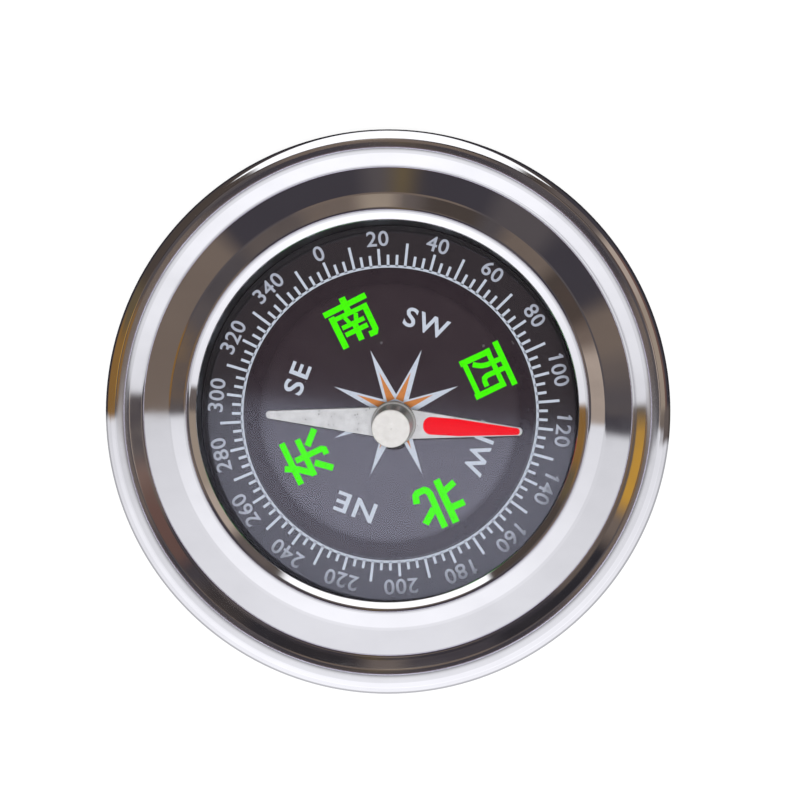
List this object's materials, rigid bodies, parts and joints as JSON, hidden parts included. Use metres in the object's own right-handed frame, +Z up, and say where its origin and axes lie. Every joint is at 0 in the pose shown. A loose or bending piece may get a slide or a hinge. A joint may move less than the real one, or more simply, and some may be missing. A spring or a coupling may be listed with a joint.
{
  "type": "pocket compass",
  "caption": "Round pocket compass: drawn steel case with a rolled hem, flat glass over a black dial, and a magnetic needle that turns on a steel point.",
  "frame": {"origin": "middle of the flat face that the case rests on, on the case's axis", "axes": "+Z up along the case's axis, out through the glass; +X to the right and +Y up the dial as the picture shows it"},
  "size_m": [0.075, 0.075, 0.02],
  "materials": {
    "polished_steel": "mirror polished stainless steel",
    "clear_glass": "flat clear glass",
    "black_rubber": "smooth black rubber",
    "black_plastic": "matt black moulding",
    "dial_black": "satin black print on a metal disc",
    "packing_felt": "pressed felt",
    "pivot_brass": "turned brass",
    "needle_steel": "satin plated steel",
    "cap_nickel": "turned and nickel plated",
    "jewel_glass": "polished jewel",
    "print_white": "matt printing ink",
    "print_green": "bright matt printing ink",
    "print_orange": "matt printing ink",
    "needle_red": "thick gloss paint"
  },
  "bodies": {
    "case": {"bezel": "polished_steel", "back_shell": "polished_steel", "crystal": "clear_glass", "crystal_gasket": "black_rubber", "dial_cup": "black_plastic", "dial_plate": "dial_black", "cup_packing": "packing_felt", "pivot_boss": "pivot_brass", "pivot_pin": "needle_steel"},
    "needle": {"needle_blade": "needle_steel", "needle_cap": "cap_nickel", "cap_jewel": "jewel_glass"}
  },
  "joints": [
    {"name": "needle_turn", "type": "hinge", "parent": "case", "child": "needle", "pos_m": [0.0005, -0.0019, 0.0123], "axis": [0, 0, 1], "continuous": true}
  ]
}
